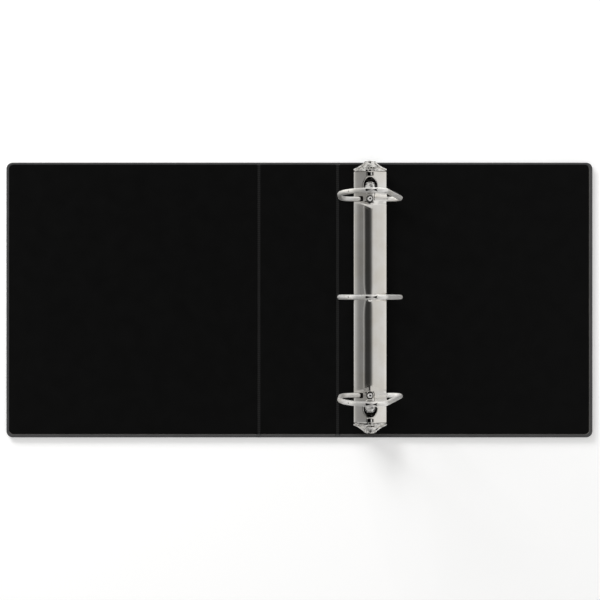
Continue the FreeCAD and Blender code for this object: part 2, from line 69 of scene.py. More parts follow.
# ---------------------------------------------------------------- sizes, mm
RIM = 3.4
RIM_LEFT = 3.1
RIM_RIGHT = 3.7
RIM_BOTTOM = 3.5
RIM_TOP = 2.4
OUTER_CORNER = 7.0
INNER_CORNER = 4.6
HINGE_CORNER = 0.15
CORNER_STEPS = 10
RIB_PITCH = 2.217
RIB_DEPTH = 0.4
RIB_SQUARENESS = 2.2
RIM_ROLL = 0.85
LINER_GAP = 0.18

HALF_WIDTH = 18.25
HALF_LENGTH = 138.0
SHEET = 0.6
APEX_Z = 13.95
SLOPE = math.tan(math.radians(16.5))
CROWN_RADIUS = 28.0
SHOULDER_X = 16.85
SHOULDER_RADIUS = 1.4
SHOULDER_Z = APEX_Z - SHOULDER_X * SLOPE - SHOULDER_RADIUS * math.hypot(1, SLOPE)
RINGS_Y = (-107.95, 0.0, 107.95)
TUNNEL_AXIS_Z = 9.75
TUNNEL_RADIUS = 3.95
TUNNEL_START = 5.5
COVER_FOOT_Y = 101.3
COVER_FOOT_WIDTH = 4.8
COVER_EDGE_Z = 12.8
COVER_SLOPE = 0.14
COVER_CLIMB = 0.09
COVER_CLIMB_Y = 104.5
COVER_HEAD_Y = (121.5, 114.5)
TUNNEL_BLEND = 2.2
SLOT_HALF = 2.95
SLOT_FOOT_Z = 5.9
LIP_REACH = 3.8
SLOT_END = -7.7
SLOT_CORNER = 1.2
END_START_Y = 99.8
END_SPREAD = 0.27
END_CROWN_RADIUS = 7.0
END_RISE = 0.75
END_SWELL = 0.42
DIMPLE_Y = -2.4
DIMPLE_RADIUS = 2.9
DIMPLE_RISE = 0.8
RIVET_Y = 121.0
SEAT_Z = 9.2
SEAT_RADIUS = 6.1
BELL_RADIUS = 7.35
BELL_WAIST = (6.0, 127.4)
BELL_NECK = (3.1, 131.0)
EYELET_SLOT = (3.3, 103.0, 111.6)
JAW_SLOT = (3.1, 133.1, 137.2)
BARREL_RADIUS = 2.4
BARREL_HALF = 12.0
WIRE_RADIUS = 2.6
ROUND_X = 4.0
ROUND_Z = 45.0
ROUND_RADIUS = 36.0
PIN_Y = 134.0
PIN_Z = 6.0

# ---------------------------------------------------------------- camera
CAMERA_HEIGHT = 870.0
SENSOR = 36.0
VIEW_WIDTH = 665.0
SHIFT_X = -0.1169
SHIFT_Y = -0.0048


def add_camera():
    """Straight above the ring metal, shifted so that the whole open cover fills the frame."""
    data = bpy.data.cameras.new("camera")
    data.sensor_width = SENSOR
    data.lens = SENSOR * (CAMERA_HEIGHT - COVER_TOP) / VIEW_WIDTH
    data.shift_x = SHIFT_X
    data.shift_y = SHIFT_Y
    camera = bpy.data.objects.new("camera", data)
    bpy.context.scene.collection.objects.link(camera)
    camera.location = Vector((METAL_X, METAL_Y, CAMERA_HEIGHT)) * MM
    bpy.context.scene.camera = camera


# ---------------------------------------------------------------- light and floor
ACROSS = ((-1.0, 1.0), (-0.70, 0.50), (-0.62, 0.30), (-0.56, 0.22), (-0.53, 0.22), (-0.515, 0.38),
          (-0.48, 0.38), (-0.45, 0.25), (-0.40, 0.09), (-0.34, 0.035), (-0.10, 0.035), (-0.03, 0.05),
          (0.04, 0.085), (0.11, 0.22), (0.18, 0.50), (0.26, 0.68), (0.5, 0.70), (0.56, 0.72),
          (0.63, 0.84), (1.0, 0.95))
ALONG = ((-1.0, 0.95), (-0.94, 0.90), (-0.90, 0.30), (-0.83, 0.25), (-0.78, 0.90), (-0.58, 0.90),
         (-0.42, 0.60), (-0.24, 0.0), (0.55, 0.0), (0.70, 0.50), (0.80, 0.75), (0.85, 0.25),
         (0.91, 0.30), (0.95, 0.90), (1.0, 0.95))


def panels_of_light(tree, direction, stops):
    """Grey levels along one axis of the direction, whose values run from -1 to 1."""
    share = arithmetic(tree, "ADD", arithmetic(tree, "MULTIPLY", direction, 0.5), 0.5)
    levels = [((along + 1) / 2, (level, level * 0.995, level * 0.985)) for along, level in stops]
    return ramp(tree, share, levels)


def add_world():
    """A soft studio in the reflections: grey left, light right and at both ends, dark overhead."""
    world = bpy.data.worlds.new("studio")
    bpy.context.scene.world = world
    world.use_nodes = True
    tree = world.node_tree
    tree.nodes.clear()
    axes = split_axes(tree, "Generated")
    brighter = mixed(tree, "LIGHTEN", panels_of_light(tree, axes["X"], ACROSS),
                     panels_of_light(tree, axes["Y"], ALONG))
    studio = tree.nodes.new("ShaderNodeBackground")
    tree.links.new(brighter, studio.inputs["Color"])
    plain = tree.nodes.new("ShaderNodeBackground")
    plain.inputs["Color"].default_value = (0.85, 0.85, 0.85, 1)
    rays = tree.nodes.new("ShaderNodeLightPath")
    seen = tree.nodes.new("ShaderNodeMixShader")
    out = tree.nodes.new("ShaderNodeOutputWorld")
    tree.links.new(rays.outputs["Is Camera Ray"], seen.inputs[0])
    tree.links.new(studio.outputs[0], seen.inputs[1])
    tree.links.new(plain.outputs[0], seen.inputs[2])
    tree.links.new(seen.outputs[0], out.inputs[0])


KEY_PLACE = Vector((-1.25, 2.05, 0.72))
KEY_SIZE = (1.5, 0.6)
KEY_POWER = 80
FLOOR_REACH = 6.0


def add_light():
    """One low soft light behind and to the left, aimed at the origin and hidden from reflections."""
    data = bpy.data.lights.new("key", "AREA")
    data.shape = "RECTANGLE"
    data.size, data.size_y = KEY_SIZE
    data.energy = KEY_POWER
    key = bpy.data.objects.new("key", data)
    bpy.context.scene.collection.objects.link(key)
    key.location = KEY_PLACE
    key.rotation_euler = (-KEY_PLACE).to_track_quat("-Z", "Y").to_euler()
    key.visible_glossy = False


def add_floor():
    """A pale floor, which glows a little so that it stays evenly white."""
    mesh = bpy.data.meshes.new("floor")
    reach = FLOOR_REACH
    mesh.from_pydata([(-reach, -reach, 0), (reach, -reach, 0), (reach, reach, 0), (-reach, reach, 0)],
                     [], [(0, 1, 2, 3)])
    floor = bpy.data.objects.new("floor", mesh)
    bpy.context.scene.collection.objects.link(floor)
    material = bpy.data.materials.new("floor")
    material.use_nodes = True
    surface = material.node_tree.nodes["Principled BSDF"]
    surface.inputs["Base Color"].default_value = (0.93, 0.93, 0.93, 1)
    surface.inputs["Roughness"].default_value = 0.9
    surface.inputs["Specular IOR Level"].default_value = 0.1
    surface.inputs["Emission Color"].default_value = (1, 1, 1, 1)
    surface.inputs["Emission Strength"].default_value = 0.20
    mesh.materials.append(material)


# ---------------------------------------------------------------- materials
# The rings' painted groove shade stops below this height and beyond this distance right of the round
# top.
GROOVE_LOW_Z = 70
GROOVE_END = 4.1
# Painted reflection on the rings: where it starts across the metal, its width and its base level.
PAINTED_SHADE_START = -25
PAINTED_SHADE_WIDTH = 50
PAINTED_SHADE_BASE = 0.68
# Painted shade on the levers: it stops above this height and outside these two sides.
LEVER_SHADE_TOP_Z = 11.5
LEVER_SHADE_RIGHT = 0.9
LEVER_SHADE_LEFT = -7


def new_material(name):
    """An empty material, its node tree and its surface."""
    material = bpy.data.materials.new(name)
    material.use_nodes = True
    tree = material.node_tree
    return material, tree, tree.nodes["Principled BSDF"]


def object_coordinates(tree, stretch=(1, 1, 1)):
    """Places on the object in metres, stretched along its axes."""
    where = tree.nodes.new("ShaderNodeTexCoord")
    mapping = tree.nodes.new("ShaderNodeMapping")
    mapping.inputs["Scale"].default_value = stretch
    tree.links.new(where.outputs["Object"], mapping.inputs["Vector"])
    return mapping.outputs["Vector"]


def arithmetic(tree, operation, a, b=0.0):
    """One maths node; each input is a number or another node's output."""
    node = tree.nodes.new("ShaderNodeMath")
    node.operation = operation
    for socket, value in zip(node.inputs, (a, b)):
        if isinstance(value, (int, float)):
            socket.default_value = value
        else:
            tree.links.new(value, socket)
    return node.outputs[0]


def length(tree, a, b):
    """The length of a vector of two components."""
    squares = [arithmetic(tree, "MULTIPLY", value, value) for value in (a, b)]
    return arithmetic(tree, "SQRT", arithmetic(tree, "ADD", *squares))


def split_axes(tree, coordinates="Object"):
    """The three coordinates as separate values."""
    where = tree.nodes.new("ShaderNodeTexCoord")
    apart = tree.nodes.new("ShaderNodeSeparateXYZ")
    tree.links.new(where.outputs[coordinates], apart.inputs[0])
    return apart.outputs


def mixed(tree, blend, a, b):
    """Two colours blended in full."""
    node = tree.nodes.new("ShaderNodeMix")
    node.data_type = "RGBA"
    node.blend_type = blend
    node.inputs["Factor"].default_value = 1.0
    tree.links.new(a, node.inputs["A"])
    tree.links.new(b, node.inputs["B"])
    return node.outputs["Result"]


def noise(tree, vector, scale, detail=2.0, roughness=0.5):
    """Cloudy values between 0 and 1."""
    node = tree.nodes.new("ShaderNodeTexNoise")
    node.inputs["Scale"].default_value = scale
    node.inputs["Detail"].default_value = detail
    node.inputs["Roughness"].default_value = roughness
    tree.links.new(vector, node.inputs["Vector"])
    return node.outputs["Fac"]


def ramp(tree, value, stops):
    """Colour stops as (position, grey or colour)."""
    node = tree.nodes.new("ShaderNodeValToRGB")
    while len(node.color_ramp.elements) < len(stops):
        node.color_ramp.elements.new(0.5)
    for element, (position, colour) in zip(node.color_ramp.elements, stops):
        element.position = position
        shade = colour if isinstance(colour, tuple) else (colour,) * 3
        element.color = (*shade, 1)
    tree.links.new(value, node.inputs["Fac"])
    return node.outputs["Color"]


def bump(tree, surface, height, strength, distance, under=None):
    """Adds fine relief to a surface, on top of an earlier relief if one is given."""
    node = tree.nodes.new("ShaderNodeBump")
    node.inputs["Strength"].default_value = strength
    node.inputs["Distance"].default_value = distance
    tree.links.new(height, node.inputs["Height"])
    if under is not None:
        tree.links.new(under, node.inputs["Normal"])
    tree.links.new(node.outputs["Normal"], surface.inputs["Normal"])
    return node.outputs["Normal"]


def rib_shade(tree):
    """Painted light and shade: bright on the tops of the weld's ribs and darker between them."""
    axes = split_axes(tree)
    along = arithmetic(tree, "SUBTRACT", axes["Y"], BACK_LOW.y * MM)
    turn = arithmetic(tree, "MULTIPLY", along, 2 * math.pi / (RIB_PITCH * MM))
    wave = arithmetic(tree, "COSINE", turn)
    return ramp(tree, arithmetic(tree, "ADD", wave, 0.5), [(0.0, 0.1), (1.0, 1.0)])


def vinyl(name, dark, light, roughness, specular, grain, shade=None):
    """Calendered vinyl: a fine leather grain, faint mottling and uneven gloss."""
    material, tree, surface = new_material(name)
    here = object_coordinates(tree)
    mottle = noise(tree, here, 60.0, 3.0)
    colour = ramp(tree, mottle, [(0.3, dark), (0.7, light)])
    # An optional shade function paints light and shade into the colour.
    if shade:
        colour = mixed(tree, "MULTIPLY", colour, shade(tree))
    tree.links.new(colour, surface.inputs["Base Color"])
    gloss = noise(tree, here, 900.0, 2.0)
    tree.links.new(ramp(tree, gloss, [(0.3, roughness - 0.05), (0.7, roughness + 0.05)]),
                   surface.inputs["Roughness"])
    cells = tree.nodes.new("ShaderNodeTexVoronoi")
    cells.inputs["Scale"].default_value = 1600.0
    tree.links.new(here, cells.inputs["Vector"])
    first = bump(tree, surface, cells.outputs["Distance"], grain, 0.0001)
    bump(tree, surface, noise(tree, here, 25.0), 0.05, 0.0006, first)
    surface.inputs["Specular IOR Level"].default_value = specular
    return material


def ring_shade(tree):
    """Painted shade, near black, in the grooves of the ring wire's round top and on faces inside the
    wire; painted reflection, darker over the housing and brighter to the right.
    """
    axes = split_axes(tree)
    x = arithmetic(tree, "MINIMUM", arithmetic(tree, "SUBTRACT", axes["X"], (METAL_X + ROUND_X) * MM), 0)
    z = arithmetic(tree, "SUBTRACT", axes["Z"], ROUND_Z * MM)
    rise = arithmetic(tree, "SUBTRACT", length(tree, x, z), ROUND_RADIUS * MM)
    lift = arithmetic(tree, "SUBTRACT", axes["Y"], METAL_Y * MM)
    turns = arithmetic(tree, "ROUND", arithmetic(tree, "DIVIDE", lift, RINGS_Y[2] * MM))
    y = arithmetic(tree, "SUBTRACT", lift, arithmetic(tree, "MULTIPLY", turns, RINGS_Y[2] * MM))
    depth = arithmetic(tree, "DIVIDE", length(tree, y, rise), WIRE_RADIUS * MM)
    below = arithmetic(tree, "LESS_THAN", axes["Z"], GROOVE_LOW_Z * MM)
    beyond = arithmetic(tree, "GREATER_THAN", axes["X"], (METAL_X + ROUND_X + GROOVE_END) * MM)
    outside = arithmetic(tree, "MAXIMUM", depth, arithmetic(tree, "MAXIMUM", below, beyond))
    # Painted shade: near black inside the wire's grooves and on its end faces.
    painted_groove_shade = ramp(tree, outside, [(0.80, 0.02), (0.94, 1.0)])
    # Painted reflection: dimmer where the wire runs over the housing, brightest on the right-hand leg;
    # low parts stay at the base level or above.
    across = arithmetic(tree, "SUBTRACT", axes["X"], METAL_X * MM)
    spread = arithmetic(tree, "MULTIPLY", arithmetic(tree, "SUBTRACT", across, PAINTED_SHADE_START * MM),
                        1 / (PAINTED_SHADE_WIDTH * MM))
    tone_and_painted_shade = ramp(tree, spread, [(0.0, PAINTED_SHADE_BASE), (0.12, PAINTED_SHADE_BASE), (0.22, 0.46), (0.48, 0.46),
                               (0.58, 0.72), (0.95, 1.0)])
    tone_and_painted_shade = arithmetic(tree, "MAXIMUM", tone_and_painted_shade, arithmetic(tree, "MULTIPLY", below, PAINTED_SHADE_BASE))
    return arithmetic(tree, "MULTIPLY", painted_groove_shade, tone_and_painted_shade)


def lever_shade(tree):
    """Painted shade: dark on the neck and barrel of a lever, hidden under the plate; full colour on the
    rest of it.
    """
    axes = split_axes(tree)
    across = arithmetic(tree, "SUBTRACT", axes["X"], METAL_X * MM)
    high = arithmetic(tree, "GREATER_THAN", axes["Z"], LEVER_SHADE_TOP_Z * MM)
    right = arithmetic(tree, "GREATER_THAN", across, LEVER_SHADE_RIGHT * MM)
    left = arithmetic(tree, "LESS_THAN", across, LEVER_SHADE_LEFT * MM)
    unshaded = arithmetic(tree, "MAXIMUM", high, arithmetic(tree, "MAXIMUM", right, left))
    # Painted shade: near black under the plate, full colour elsewhere.
    return ramp(tree, unshaded, [(0.4, 0.02), (0.6, 1.0)])


def nickel(name, roughness, wave, metallic=1.0, colour=(0.80, 0.785, 0.76), ripple=38.0,
           shade=None, tarnish=None):
    """Bright nickel plate: slow ripples from the pressing, fine draw lines and a few dull spots."""
    material, tree, surface = new_material(name)
    surface.inputs["Metallic"].default_value = metallic
    here = object_coordinates(tree)
    cloud = noise(tree, here, 45.0, 3.0)
    warm = tuple(c * f for c, f in zip(colour, (0.94, 0.92, 0.88)))
    plate = ramp(tree, cloud, [(0.35, warm), (0.6, colour)])
    if tarnish:
        dull = tuple(c * 0.48 for c in colour)
        plate = ramp(tree, noise(tree, here, tarnish, 3.0, 0.6), [(0.38, dull), (0.56, colour)])
    # A shade function paints shade and reflection into the plate's colour.
    if shade:
        surface.inputs["Specular IOR Level"].default_value = 0.3
        plate = mixed(tree, "MULTIPLY", plate, shade(tree))
    tree.links.new(plate, surface.inputs["Base Color"])
    spots = noise(tree, here, 700.0, 4.0, 0.7)
    dullness = ramp(tree, spots, [(0.35, roughness), (0.62, roughness * 1.3), (0.75, roughness * 2.4)])
    tree.links.new(dullness, surface.inputs["Roughness"])
    first = bump(tree, surface, noise(tree, here, ripple, 1.0), wave, 0.05 / ripple)
    lines = noise(tree, object_coordinates(tree, (900, 25, 900)), 1.0, 2.0)
    bump(tree, surface, lines, 0.04, 0.00004, first)
    return material


def steel(name, tone_and_painted_shade, roughness):
    """Zinc-plated or rolled steel: streaked along its length, with a faint yellow cast."""
    material, tree, surface = new_material(name)
    surface.inputs["Metallic"].default_value = 1.0
    streak = noise(tree, object_coordinates(tree, (700, 20, 700)), 1.0, 3.0)
    dull = tuple(c * 0.8 for c in tone_and_painted_shade)
    tree.links.new(ramp(tree, streak, [(0.3, dull), (0.7, tone_and_painted_shade)]), surface.inputs["Base Color"])
    tree.links.new(ramp(tree, streak, [(0.3, roughness), (0.7, roughness + 0.15)]),
                   surface.inputs["Roughness"])
    bump(tree, surface, streak, 0.1, 0.00005)
    return material


def greyboard():
    """Recycled board: fibres and flecks."""
    material, tree, surface = new_material("greyboard")
    here = object_coordinates(tree)
    fleck = noise(tree, here, 500.0, 6.0, 0.7)
    tree.links.new(ramp(tree, fleck, [(0.35, (0.20, 0.19, 0.17)), (0.65, (0.36, 0.34, 0.31))]),
                   surface.inputs["Base Color"])
    surface.inputs["Roughness"].default_value = 0.9
    bump(tree, surface, fleck, 0.3, 0.0002)
    return material


# ---------------------------------------------------------------- cover panels
def outline(low, high, inset, corner_left, corner_right):
    """A rounded rectangle, anticlockwise; inset is (left, right, bottom, top)."""
    left, right, bottom, upper = inset
    x0, x1 = low.x + left, high.x - right
    y0, y1 = low.y + bottom, high.y - upper
    points = []
    corners = [(x1, y1, corner_right, 0), (x0, y1, corner_left, 90),
               (x0, y0, corner_left, 180), (x1, y0, corner_right, 270)]
    for x, y, radius, start in corners:
        cx = x - radius if start in (0, 270) else x + radius
        cy = y - radius if start in (0, 90) else y + radius
        for step in range(CORNER_STEPS + 1):
            angle = math.radians(start + 90 * step / CORNER_STEPS)
            points.append((cx + radius * math.cos(angle), cy + radius * math.sin(angle)))
    return points


def lofted(name, loops, material, body, replaced):
    """Closed skin through outlines of equal length, each (points, z); both ends are capped."""
    bm = bmesh.new()
    rings = []
    for points, z in loops:
        rings.append([bm.verts.new((x * MM, y * MM, z * MM)) for x, y in points])
    for lower, upper in zip(rings, rings[1:]):
        count = len(lower)
        for i in range(count):
            j = (i + 1) % count
            bm.faces.new((lower[i], lower[j], upper[j], upper[i]))
    bm.faces.new(list(reversed(rings[0])))
    bm.faces.new(rings[-1])
    bmesh.ops.recalc_face_normals(bm, faces=bm.faces)
    for face in bm.faces:
        face.smooth = len(face.verts) == 4
    finish_piece(name, bm, material, body, replaced)


def panel_skin(panel, body, left_free, right_free, material):
    """The outer vinyl: flat outside, rolled edge and the welded rim with its inner groove."""
    low, high = box_mm(panel + "_outer_skin")
    top = high.z
    profile = [(0.5, 0.0), (0.18, 0.10), (0.0, 0.45), (0.0, top - 0.75), (0.12, top - 0.35),
               (0.42, top - 0.09), (0.85, top), (RIM - 0.75, top - 0.02), (RIM - 0.3, top - 0.16),
               (RIM - 0.12, top - 0.5), (RIM, top - 1.0)]
    loops = []
    for inset, z in profile:
        hinge = min(inset, 0.5) + (0.35 if z > top - 0.5 else 0.0)
        share = inset / RIM
        left = share * RIM_LEFT if left_free else hinge
        right = share * RIM_RIGHT if right_free else hinge
        corner = OUTER_CORNER * (1 - share) + INNER_CORNER * share
        loops.append((outline(low, high, (left, right, share * RIM_BOTTOM, share * RIM_TOP),
                              corner if left_free else HINGE_CORNER,
                              corner if right_free else HINGE_CORNER), z))
    lofted(panel + "_outer_vinyl", loops, material, body, panel + "_outer_skin")


def panel_liner(panel, body, left_free, right_free, material):
    """The inner vinyl sheet, its edge turned down into the groove beside the rim."""
    low, high = box_mm(panel + "_outer_skin")
    top = high.z
    profile = [(0.0, top - 0.9), (0.0, top - 0.22), (0.07, top - 0.07), (0.25, top)]
    loops = []
    for inset, z in profile:
        side = LINER_GAP + inset
        loops.append((outline(low, high, (RIM_LEFT + side if left_free else 0.0,
                                          RIM_RIGHT + side if right_free else 0.0,
                                          RIM_BOTTOM + side, RIM_TOP + side),
                              INNER_CORNER if left_free else HINGE_CORNER,
                              INNER_CORNER if right_free else HINGE_CORNER), z))
    lofted(panel + "_inner_vinyl", loops, material, body, panel + "_inner_liner")


# ---------------------------------------------------------------- hinge webs
def rib_height(y, low_y, high_y):
    """Height of the web's top below the cover's face: ribs between the rims, rim at the ends."""
    edge = min(y - low_y, high_y - y)
    if y - low_y < RIM_BOTTOM or high_y - y < RIM_TOP:
        if edge >= RIM_ROLL:
            return 0.0
        return RIM_ROLL - math.sqrt(max(RIM_ROLL ** 2 - (RIM_ROLL - edge) ** 2, 0))
    phase = math.cos(2 * math.pi * (y - low_y) / RIB_PITCH)
    return RIB_DEPTH * (0.5 - 0.5 * math.tanh(RIB_SQUARENESS * phase) / math.tanh(RIB_SQUARENESS))


def hinge_web(name, node, weld, rim_material):
    """A strip ribbed across, over the hinge: a grid on top and a flat underside."""
    low, high = box_mm(node)
    columns = 8
    rows = int(round((high.y - low.y) / (RIB_PITCH / 8)))
    bm = bmesh.new()
    tops, unders = [], []
    for r in range(rows + 1):
        y = low.y + (high.y - low.y) * r / rows
        drop = rib_height(y, low.y, high.y)
        top_row, under_row = [], []
        for c in range(columns + 1):
            share = c / columns
            x = low.x + (high.x - low.x) * share
            shoulder = 0.10 * (2 * share - 1) ** 6
            z = high.z - 0.03 - drop * (1 - (2 * share - 1) ** 8) - shoulder
            top_row.append(bm.verts.new((x * MM, y * MM, z * MM)))
            under_row.append(bm.verts.new((x * MM, y * MM, low.z * MM)))
        tops.append(top_row)
        unders.append(under_row)
    for r in range(rows):
        y = low.y + (high.y - low.y) * (r + 0.5) / rows
        at_rim = y - low.y < RIM_BOTTOM or high.y - y < RIM_TOP
        for c in range(columns):
            face = bm.faces.new((tops[r][c], tops[r][c + 1], tops[r + 1][c + 1], tops[r + 1][c]))
            face.material_index = 1 if at_rim else 0
            bm.faces.new((unders[r][c], unders[r + 1][c], unders[r + 1][c + 1], unders[r][c + 1]))
        for c in (0, columns):
            bm.faces.new((tops[r][c], tops[r + 1][c], unders[r + 1][c], unders[r][c]))
    for r in (0, rows):
        for c in range(columns):
            bm.faces.new((tops[r][c], tops[r][c + 1], unders[r][c + 1], unders[r][c]))
    bmesh.ops.recalc_face_normals(bm, faces=bm.faces)
    for face in bm.faces:
        face.smooth = True
    mesh = bpy.data.meshes.new(name)
    bm.to_mesh(mesh)
    bm.free()
    mesh.materials.append(weld)
    mesh.materials.append(rim_material)
    piece = bpy.data.objects.new(name, mesh)
    bpy.context.scene.collection.objects.link(piece)
    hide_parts(node)
    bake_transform(piece)


# ---------------------------------------------------------------- pressed sheet metal
def smooth(edge0, edge1, value):
    """Nought at the first edge, one at the second, with level ends."""
    t = min(max((value - edge0) / (edge1 - edge0), 0.0), 1.0)
    return t * t * (3 - 2 * t)


def rolled(distance, reach, depth):
    """How far a pressed edge rolls down at a distance from the opening's outline."""
    return depth * (1 - min(distance / reach, 1.0)) ** 2


def to_segment(x, y, a, b):
    """Distance from a point to a segment."""
    ax, ay = a
    dx, dy = b[0] - ax, b[1] - ay
    share = ((x - ax) * dx + (y - ay) * dy) / (dx * dx + dy * dy)
    share = min(max(share, 0.0), 1.0)
    return math.hypot(x - ax - share * dx, y - ay - share * dy)


class Outline:
    """A closed outline, its segments sorted into bands of y so that tests are quick."""

    def __init__(self, points, reach=2.1):
        self.points = points
        self.bands = {}
        for a, b in zip(points, points[1:] + points[:1]):
            low = math.floor(min(a[1], b[1]) - reach)
            high = math.floor(max(a[1], b[1]) + reach)
            for band in range(low, high + 1):
                self.bands.setdefault(band, []).append((a, b))

    def inside(self, x, y):
        """Whether a point lies within the outline."""
        hit = False
        for (ax, ay), (bx, by) in self.bands.get(math.floor(y), ()):
            if (ay > y) != (by > y) and x < ax + (y - ay) * (bx - ax) / (by - ay):
                hit = not hit
        return hit

    def distance(self, x, y, reach):
        """Distance to the outline, or the reach if it is further off."""
        best = reach
        for a, b in self.bands.get(math.floor(y), ()):
            if min(a[0], b[0]) - best < x < max(a[0], b[0]) + best:
                best = min(best, to_segment(x, y, a, b))
        return best


def arc_points(cx, cy, radius, start, end, steps):
    """Points along an arc; angles in degrees."""
    angles = [math.radians(start + (end - start) * i / steps) for i in range(steps + 1)]
    return [(cx + radius * math.cos(a), cy + radius * math.sin(a)) for a in angles]


def through(a, middle, b, steps):
    """Points of the circular arc through three points."""
    ax, ay = a
    bx, by = middle
    cx, cy = b
    d = 2 * (ax * (by - cy) + bx * (cy - ay) + cx * (ay - by))
    aa, bb, cc = ax ** 2 + ay ** 2, bx ** 2 + by ** 2, cx ** 2 + cy ** 2
    ux = (aa * (by - cy) + bb * (cy - ay) + cc * (ay - by)) / d
    uy = (aa * (cx - bx) + bb * (ax - cx) + cc * (bx - ax)) / d
    radius = math.hypot(ax - ux, ay - uy)
    start = math.degrees(math.atan2(ay - uy, ax - ux))
    turn = math.degrees(math.atan2(cy - uy, cx - ux)) - start
    turn = (turn + 180) % 360 - 180
    return arc_points(ux, uy, radius, start, start + turn, steps)


def split(points, step):
    """Adds points along an open outline so that no piece is longer than a step."""
    out = [points[0]]
    for a, b in zip(points, points[1:]):
        count = max(1, math.ceil(math.hypot(b[0] - a[0], b[1] - a[1]) / step))
        out += [(a[0] + (b[0] - a[0]) * i / count, a[1] + (b[1] - a[1]) * i / count)
                for i in range(1, count + 1)]
    return out


def add_sheet(bm, outer, holes, columns, rows, top, under, local, slack=0.28):
    """A pressed sheet: its outline and holes, filled on a grid and closed with an underside."""
    points, edges = [], []
    for loop in [outer] + holes:
        first, count = len(points), len(loop.points)
        points += loop.points
        edges += [(first + i, first + (i + 1) % count) for i in range(count)]

    def within(x, y):
        return outer.inside(x, y) and not any(hole.inside(x, y) for hole in holes)

    for y in rows:
        near = [loop for loop in [outer] + holes if math.floor(y) in loop.bands]
        for x in columns:
            if within(x, y) and all(loop.distance(x, y, slack) >= slack for loop in near):
                points.append((x, y))
    flat, _, faces, _, _, _ = delaunay_2d_cdt([Vector(p) for p in points], edges, [], 0, 1e-6)
    kept = [face for face in faces
            if within(sum(flat[i].x for i in face) / 3, sum(flat[i].y for i in face) / 3)]
    upper, lower = [], []
    for p in flat:
        z = top(p.x, p.y)
        upper.append(bm.verts.new(local(p.x, p.y, z)))
        lower.append(bm.verts.new(local(*under(p.x, p.y, z))))
    used = set()
    for a, b, c in kept:
        bm.faces.new((upper[a], upper[b], upper[c])).smooth = True
        bm.faces.new((lower[c], lower[b], lower[a])).smooth = True
        used.update(((a, b), (b, c), (c, a)))
    for a, b in used:
        if (b, a) not in used:
            wall = bm.faces.new((upper[a], lower[a], lower[b], upper[b]))
            for edge in wall.edges:
                edge.smooth = False


def add_hull(bm, sections, local):
    """A closed bar through outlines of equal length, given as points (x, y, z)."""
    rings = [[bm.verts.new(local(*p)) for p in section] for section in sections]
    for lower, upper in zip(rings, rings[1:]):
        for i in range(len(lower)):
            j = (i + 1) % len(lower)
            bm.faces.new((lower[i], lower[j], upper[j], upper[i]))
    bm.faces.new(list(reversed(rings[0])))
    bm.faces.new(rings[-1])


def finish_piece(name, bm, material, body, node):
    """Turns a mesh under construction into a piece that rides on a body in place of a CAD node."""
    loose = [v for v in bm.verts if not v.link_faces]
    bmesh.ops.delete(bm, geom=loose, context="VERTS")
    mesh = bpy.data.meshes.new(name)
    bm.to_mesh(mesh)
    bm.free()
    mesh.materials.append(material)
    piece = bpy.data.objects.new(name, mesh)
    bpy.context.scene.collection.objects.link(piece)
    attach(piece, body)
    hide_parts(node)


# ---------------------------------------------------------------- housing plate
def arch(x, radius, steep=0.009):
    """The plain arch: a rounded crown, straight flanks, steeper near the rolled shoulders."""
    x = abs(x)
    steeper = steep * max(0.0, min(x, SHOULDER_X) - 11.0) ** 2
    if x > SHOULDER_X:
        return SHOULDER_Z + math.sqrt(max(SHOULDER_RADIUS ** 2 - (x - SHOULDER_X) ** 2, 0)) - steeper
    crown = radius * math.sin(math.atan(SLOPE))
    flank = APEX_Z - x * SLOPE
    if x < crown:
        flank = APEX_Z - radius * math.hypot(1, SLOPE) + math.sqrt(radius ** 2 - x ** 2)
    return flank - steeper


def bell_loop(side):
    """The bell opening round a rivet: half a circle, drawn in to a rounded neck."""
    half = arc_points(0, RIVET_Y, BELL_RADIUS, 270, 360, 14)
    half += through((BELL_RADIUS, RIVET_Y), BELL_WAIST, BELL_NECK, 14)[1:]
    half += [(2.4, 131.5), (1.3, 131.75)]
    mirrored = [(-x, y) for x, y in reversed(half) if x > 0.01]
    return [(x, side * y) for x, y in half + mirrored]


def obround_loop(half_width, y0, y1, side):
    """A slot with round ends, along the plate."""
    points = arc_points(0, y1 - half_width, half_width, 0, 180, 16)
    points += arc_points(0, y0 + half_width, half_width, 180, 360, 16)
    return [(x, side * y) for x, y in points]


def rectangle(x0, x1, y0, y1, side, corner):
    """A rectangle with rounded corners."""
    points = []
    for cx, cy, start in ((x1 - corner, y1 - corner, 0), (x0 + corner, y1 - corner, 90),
                          (x0 + corner, y0 + corner, 180), (x1 - corner, y0 + corner, 270)):
        points += arc_points(cx, cy, corner, start, start + 90, 4)
    return [(x, side * y) for x, y in points]


def housing_outline():
    """The plate's plan, with the three slots for the left-hand arms in its left side."""
    points = [(HALF_WIDTH, -HALF_LENGTH), (HALF_WIDTH, HALF_LENGTH), (-HALF_WIDTH, HALF_LENGTH)]
    for y in reversed(RINGS_Y):
        corner_x, corner_y = SLOT_END - SLOT_CORNER, SLOT_HALF - SLOT_CORNER
        points += [(-HALF_WIDTH, y + SLOT_HALF)]
        points += arc_points(corner_x, y + corner_y, SLOT_CORNER, 90, 0, 5)
        points += arc_points(corner_x, y - corner_y, SLOT_CORNER, 0, -90, 5)
        points += [(-HALF_WIDTH, y - SLOT_HALF)]
    points += [(-HALF_WIDTH, -HALF_LENGTH), (HALF_WIDTH, -HALF_LENGTH)]
    return split(points, 1.2)[:-1]


BELLS = [Outline(bell_loop(side)) for side in (-1, 1)]
EYELET_SLOTS = [Outline(obround_loop(*EYELET_SLOT, side)) for side in (-1, 1)]
JAW_SLOTS = [Outline(rectangle(-JAW_SLOT[0], *JAW_SLOT, side, 0.5)) for side in (-1, 1)]


